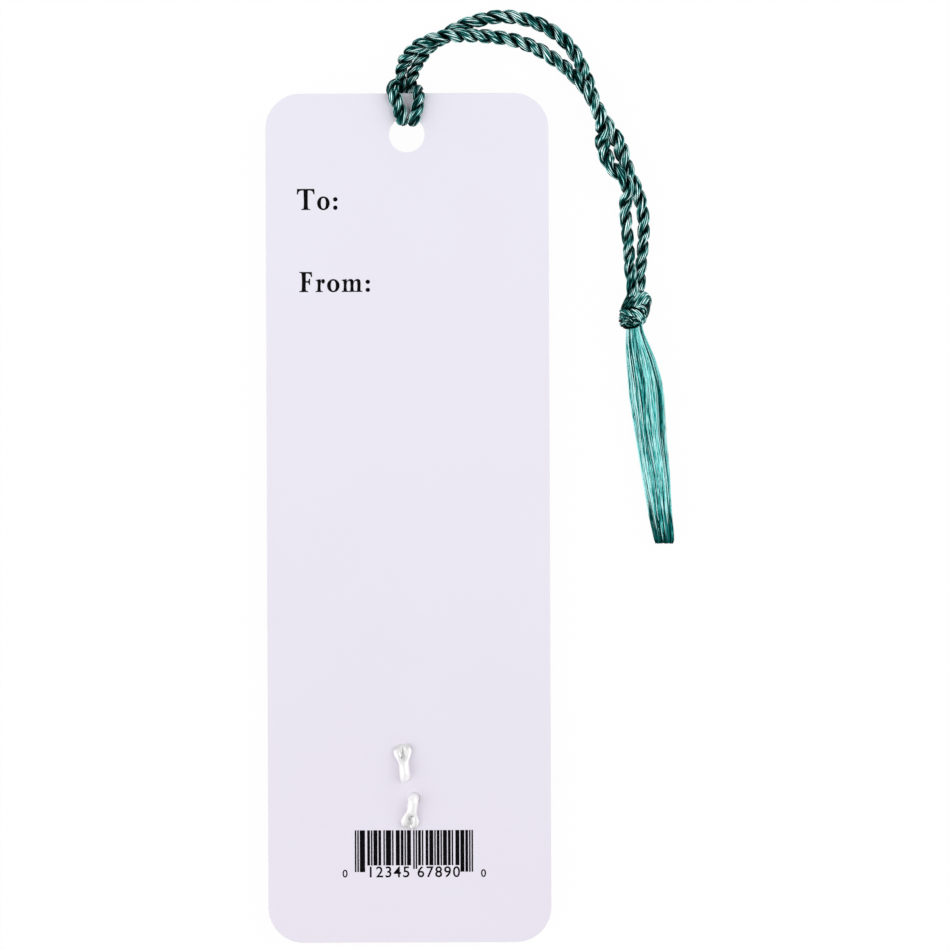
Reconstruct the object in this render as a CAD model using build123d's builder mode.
from build123d import *
import math
import os

# A gift-tag bookmark lying face down on a table, in millimetres.
# +X is the card's right-hand side seen from above, +Y runs to its punched end, +Z is up.
# The origin is on the table under the middle of the card.

# Card
card_width = 50.8
card_length = 152.4
card_thickness = 0.4
card_corner_radius = 6.35
card_edge_round = 0.06
hole_diameter = 6.4
hole_edge_distance = 7.4

# Ornament on the printed front, and the two posts that hold it
ornament_diameter = 22.0
ornament_thickness = 2.8
ornament_rim_width = 1.6
ornament_recess_depth = 0.5
ornament_edge_round = 0.4
ornament_end_distance = 27.8
post_diameter = 1.9
post_hole_clearance = 0.15
post_spacing_x = 1.6
post_spacing_y = 3.95
post_bend_radius = 1.1
post_straight_length = 1.9
post_tip_length = 2.5
post_tip_width = 3.0
post_tip_thickness = 1.1
post_tip_end_share = 0.6
post_tip_wide_share = 0.75
upper_post_turn = 4.9
lower_post_turn = 170.9

# Cord
cord_diameter = 2.4
tight_diameter = 1.7
lie_gap = 0.08
strand_gap = 0.1
hitch_turn_radius = 1.2
hitch_slope_start = 0.45
hitch_slope_length = 0.9
hitch_over_edge = 0.8
hitch_bight_distance = 2.05
hitch_exit_margin = 0.3
bend_share = 0.49
arc_share = 0.45

# Knot and fringe of the tassel
knot_centre = (40.8, 37.1, 2.7)
knot_axis_lean = 27.0
knot_core_radius = 2.25
knot_wrap_radius = 1.55
knot_wrap_tube_radius = 1.05
knot_wrap_offset = 1.55
knot_wrap_tilt = 14.0
knot_reach = 3.6
knot_swing_clearance = 0.2
fringe_length = 39.5
fringe_width = 6.1
fringe_thickness = 4.0
fringe_lean = 5.0
fringe_overlap = 2.2
fringe_grooves = 10
groove_share = 0.1

# Heights above the table
card_bottom = ornament_thickness
card_top = card_bottom + card_thickness
tight_radius = tight_diameter / 2
bight_height = tight_radius
standing_height = bight_height + tight_diameter + strand_gap
under_height = card_bottom - lie_gap - tight_radius
leg_height = card_top + lie_gap + tight_radius

# Places along the card
card_edge_y = card_length / 2
hole_y = card_edge_y - hole_edge_distance
ornament_centre_y = ornament_end_distance - card_edge_y
strand_x = tight_radius + strand_gap / 2
leg_x = strand_x + tight_diameter + strand_gap
hitch_exit_y = card_edge_y + hitch_bight_distance + tight_radius + hitch_exit_margin

# Free stretches of the cord, from the hitch to the knot: the inner strand lies over the outer one.
# Each neck is the first stretch, still drawn tight, up to the place where the strands cross.
inner_neck_route = [
    (-strand_x, hitch_exit_y, standing_height),
    (-strand_x, 80.6, standing_height),
    (-0.55, 82.2, 2.95),
    (0.4, 83.6, 3.3),
    (1.85, 84.5, 3.6),
    (3.5, 85.2, 3.72),
    (5.05, 85.66, 3.75),
]
outer_neck_route = [
    (strand_x, hitch_exit_y, standing_height),
    (strand_x, 80.4, standing_height),
    (1.5, 81.7, 2.3),
    (2.5, 83.0, 1.85),
    (3.8, 84.3, 1.45),
    (5.15, 85.55, 1.25),
]
inner_strand_route = [
    (5.2, 85.7, 3.75),
    (7.8, 86.45, 3.65),
    (11.4, 86.6, 2.3),
    (15.7, 86.35, 1.2),
    (19.85, 85.6, 1.2),
    (23.95, 83.8, 1.2),
    (27.7, 81.2, 1.6),
    (30.8, 77.8, 2.6),
    (33.2, 73.65, 2.95),
    (34.6, 69.7, 2.35),
    (35.3, 65.7, 1.7),
    (36.95, 62.25, 2.3),
    (38.8, 59.35, 2.55),
    (39.15, 55.8, 1.8),
    (39.45, 51.9, 1.7),
    (39.9, 47.9, 2.3),
    (40.1, 44.4, 3.3),
    (40.35, 41.5, 3.8),
    (40.4, 39.5, 3.9),
]
outer_strand_route = [
    (5.3, 85.7, 1.22),
    (6.75, 87.25, 1.2),
    (8.9, 88.55, 1.2),
    (12.3, 89.55, 1.2),
    (16.6, 90.05, 1.2),
    (20.95, 89.55, 1.2),
    (24.9, 88.0, 1.2),
    (28.2, 85.5, 1.2),
    (30.7, 82.25, 1.2),
    (32.95, 78.4, 1.2),
    (35.15, 74.2, 1.2),
    (37.05, 70.0, 1.2),
    (38.65, 65.95, 1.2),
    (39.7, 62.3, 1.2),
    (41.4, 59.2, 1.2),
    (42.45, 55.8, 1.2),
    (42.7, 51.9, 1.2),
    (42.3, 47.9, 1.2),
    (42.05, 44.4, 1.25),
    (41.75, 41.5, 1.35),
    (41.6, 39.5, 1.4),
]


def route_radii(route):
    """Largest easy arc at each inner point of a cord's route."""
    points = [Vector(*point) for point in route]
    radii = []
    for before, here, after in zip(points, points[1:], points[2:]):
        turn = math.radians((here - before).get_angle(after - here))
        shorter = min((here - before).length, (after - here).length)
        radii.append(arc_share * shorter / math.tan(turn / 2))
    return radii


def cord_tube(name, route, radii, diameter):
    """A round tube along a route, with its figures printed."""
    with BuildPart() as tube:
        with BuildLine() as path:
            FilletPolyline(*route, radius=radii)
        line = path.wires()[0]
        with BuildSketch(Plane(origin=line @ 0, z_dir=line % 0)):
            Circle(diameter / 2)
        sweep()
    section = math.pi * diameter**2 / 4
    share = tube.part.volume / (section * line.length)
    print(f"{name}: length {line.length:.1f}, least radius {min(radii):.1f}, volume share {share:.4f}")
    print("  radii", [round(radius, 1) for radius in radii])
    return tube


# Card: pale board with round corners, one punched hole and two small holes for the posts
ornament_centre = (0, ornament_centre_y)
upper_post_root = (-post_spacing_x / 2, ornament_centre_y + post_spacing_y / 2)
lower_post_root = (post_spacing_x / 2, ornament_centre_y - post_spacing_y / 2)
with BuildPart() as card:
    with BuildSketch(Plane.XY.offset(card_bottom)):
        RectangleRounded(card_width, card_length, card_corner_radius)
        with Locations((0, hole_y)):
            Circle(hole_diameter / 2, mode=Mode.SUBTRACT)
        with Locations(upper_post_root, lower_post_root):
            Circle(post_diameter / 2 + post_hole_clearance, mode=Mode.SUBTRACT)
    extrude(amount=card_thickness)
    rims = card.faces().filter_by(Axis.Z)
    fillet([edge for rim in rims for edge in rim.outer_wire().edges()], card_edge_round)
card.part.label = "card"

# Ornament: a plain cast disc under the card, with a raised rim round its face
with BuildPart() as front_ornament:
    with BuildSketch():
        with Locations(ornament_centre):
            Circle(ornament_diameter / 2)
    extrude(amount=ornament_thickness)
    with BuildSketch():
        with Locations(ornament_centre):
            Circle(ornament_diameter / 2 - ornament_rim_width)
    extrude(amount=ornament_recess_depth, mode=Mode.SUBTRACT)
    rim_edges = front_ornament.edges().filter_by(GeomType.CIRCLE).group_by(SortBy.RADIUS)[-1]
    fillet(rim_edges.sort_by(Axis.Z)[0], ornament_edge_round)
front_ornament.part.label = "front_ornament"


def bent_post(root, turn):
    """A soft metal post, through the card, bent over on its back and crimped flat at the tip."""
    reach_height = card_top + lie_gap + post_diameter / 2
    tip_height = card_top + lie_gap + post_tip_thickness / 2
    away = Vector(0, 1, 0).rotate(Axis.Z, turn)
    side = Vector(1, 0, 0).rotate(Axis.Z, turn)
    foot = Vector(*root, card_bottom)
    corner = Vector(*root, reach_height)
    neck = corner + away * (post_bend_radius + post_straight_length)
    crimp = Vector(*root, tip_height) + away * (post_bend_radius + post_straight_length)
    wide_place = crimp + away * (post_tip_length * post_tip_wide_share)
    end_place = crimp + away * post_tip_length
    half_width, half_thickness = post_tip_width / 2, post_tip_thickness / 2
    with BuildPart() as post:
        with BuildLine() as path:
            FilletPolyline(foot, corner, neck, radius=[post_bend_radius])
        with BuildSketch(Plane(origin=path.line @ 0, z_dir=path.line % 0)):
            Circle(post_diameter / 2)
        sweep()
        with BuildSketch(Plane(origin=neck, x_dir=side, z_dir=away)):
            Circle(post_diameter / 2)
        with BuildSketch(Plane(origin=wide_place, x_dir=side, z_dir=away)):
            Ellipse(half_width, half_thickness)
        with BuildSketch(Plane(origin=end_place, x_dir=side, z_dir=away)):
            Ellipse(half_width * post_tip_end_share, half_thickness * post_tip_end_share)
        loft()
    return post


# Posts: they leave the ornament side by side and are bent opposite ways
ornament_post_upper = bent_post(upper_post_root, upper_post_turn)
ornament_post_upper.part.label = "ornament_post_upper"
ornament_post_lower = bent_post(lower_post_root, lower_post_turn)
ornament_post_lower.part.label = "ornament_post_lower"

# Hitch: the cord's folded middle, looped through the hole and round the card's end.
# Half of it runs from a standing end, under the card, up round the hole's edge,
# over the back and down past the card's end to the bight, which the other half mirrors.
turn_height = leg_height - under_height
hole_edge_y = hole_y + math.sqrt((hole_diameter / 2) ** 2 - strand_x**2)
bend_y = hole_edge_y - turn_height / 2
slope_foot_y = card_edge_y + hitch_slope_start
slope_top_y = slope_foot_y + hitch_slope_length
bight_y = card_edge_y + hitch_bight_distance
half_hitch = [
    (strand_x, hitch_exit_y, standing_height),
    (strand_x, slope_top_y, standing_height),
    (strand_x, slope_foot_y, under_height),
    (strand_x, bend_y, under_height),
    (strand_x, bend_y, leg_height),
    (leg_x, card_edge_y + hitch_over_edge, leg_height),
    (leg_x, bight_y, bight_height),
]
half_radii = [
    hitch_turn_radius,
    hitch_turn_radius,
    turn_height * bend_share,
    turn_height * bend_share,
    hitch_turn_radius,
    hitch_turn_radius,
]
other_half = [(-x, y, z) for x, y, z in reversed(half_hitch)]
hitch_loop = cord_tube("hitch_loop", half_hitch + other_half, half_radii + half_radii[::-1], tight_diameter)
hitch_loop.part.label = "hitch_loop"

# Necks and strands of the cord
neck_inner = cord_tube("neck_inner", inner_neck_route, route_radii(inner_neck_route), tight_diameter)
neck_inner.part.label = "neck_inner"
neck_outer = cord_tube("neck_outer", outer_neck_route, route_radii(outer_neck_route), tight_diameter)
neck_outer.part.label = "neck_outer"
inner_tube = cord_tube("strand_inner", inner_strand_route, route_radii(inner_strand_route), cord_diameter)
outer_tube = cord_tube("strand_outer", outer_strand_route, route_radii(outer_strand_route), cord_diameter)
swing_radius = knot_reach + knot_swing_clearance
with BuildPart() as strand_inner:
    add(inner_tube)
    with Locations(knot_centre):
        Sphere(swing_radius, mode=Mode.SUBTRACT)
strand_inner.part.label = "strand_inner"
with BuildPart() as strand_outer:
    add(outer_tube)
    with Locations(knot_centre):
        Sphere(swing_radius, mode=Mode.SUBTRACT)
strand_outer.part.label = "strand_outer"

# Knot: both strands tied together, three wraps round a core
knot_direction = Vector(0, 1, 0).rotate(Axis.Z, -knot_axis_lean)
with BuildPart(Plane(origin=knot_centre, x_dir=(0, 0, 1), z_dir=knot_direction)) as tassel_knot:
    Sphere(knot_core_radius)
    for place in (-1, 0, 1):
        with Locations((0, 0, place * knot_wrap_offset)):
            Torus(knot_wrap_radius, knot_wrap_tube_radius, rotation=(place * knot_wrap_tilt, 0, 0))
tassel_knot.part.label = "tassel_knot"

# Fringe: the unlaid ends of the cord, a long soft lock with grooves along it.
# The shares follow its length, width, height and lean from the knot to the cut tip.
station_shares = [0, 0.09, 0.2, 0.36, 0.54, 0.71, 0.88, 0.96, 1]
width_shares = [0.5, 0.55, 0.85, 1, 0.88, 0.79, 0.68, 0.6, 0.5]
thickness_shares = [0.78, 0.8, 0.95, 1, 0.95, 0.87, 0.76, 0.7, 0.62]
lean_shares = [0, 0.05, 0.24, 0.43, 0.57, 0.75, 0.89, 0.98, 1]
lift_shares = [1, 0.75, 0.3, 0.06, 0, 0, 0, 0, 0]
fringe_top_y = knot_centre[1] - fringe_overlap
with BuildPart() as tassel_fringe:
    for along, wide, thick, lean, lift in zip(
        station_shares, width_shares, thickness_shares, lean_shares, lift_shares
    ):
        half_wide = wide * fringe_width / 2
        half_thick = thick * fringe_thickness / 2
        middle_x = knot_centre[0] + lean * fringe_lean
        middle_z = half_thick * (1 + groove_share) * (1 - lift) + knot_centre[2] * lift
        middle = (middle_x, fringe_top_y - along * fringe_length, middle_z)
        with BuildSketch(Plane(origin=middle, x_dir=(1, 0, 0), z_dir=(0, -1, 0))):
            with BuildLine():
                for groove in range(fringe_grooves):
                    angles = [(groove + step / 2) * 2 * math.pi / fringe_grooves for step in range(3)]
                    swells = [1, 1 + groove_share, 1]
                    ThreePointArc(
                        *[
                            (half_wide * swell * math.cos(angle), half_thick * swell * math.sin(angle))
                            for angle, swell in zip(angles, swells)
                        ]
                    )
            make_face()
    loft()
    with Locations(knot_centre):
        Sphere(knot_reach, mode=Mode.SUBTRACT)
tassel_fringe.part.label = "tassel_fringe"

os.makedirs("parts", exist_ok=True)
for piece in (
    card,
    front_ornament,
    ornament_post_upper,
    ornament_post_lower,
    hitch_loop,
    neck_inner,
    neck_outer,
    strand_inner,
    strand_outer,
    tassel_knot,
    tassel_fringe,
):
    export_step(piece.part, f"parts/{piece.part.label}.step")
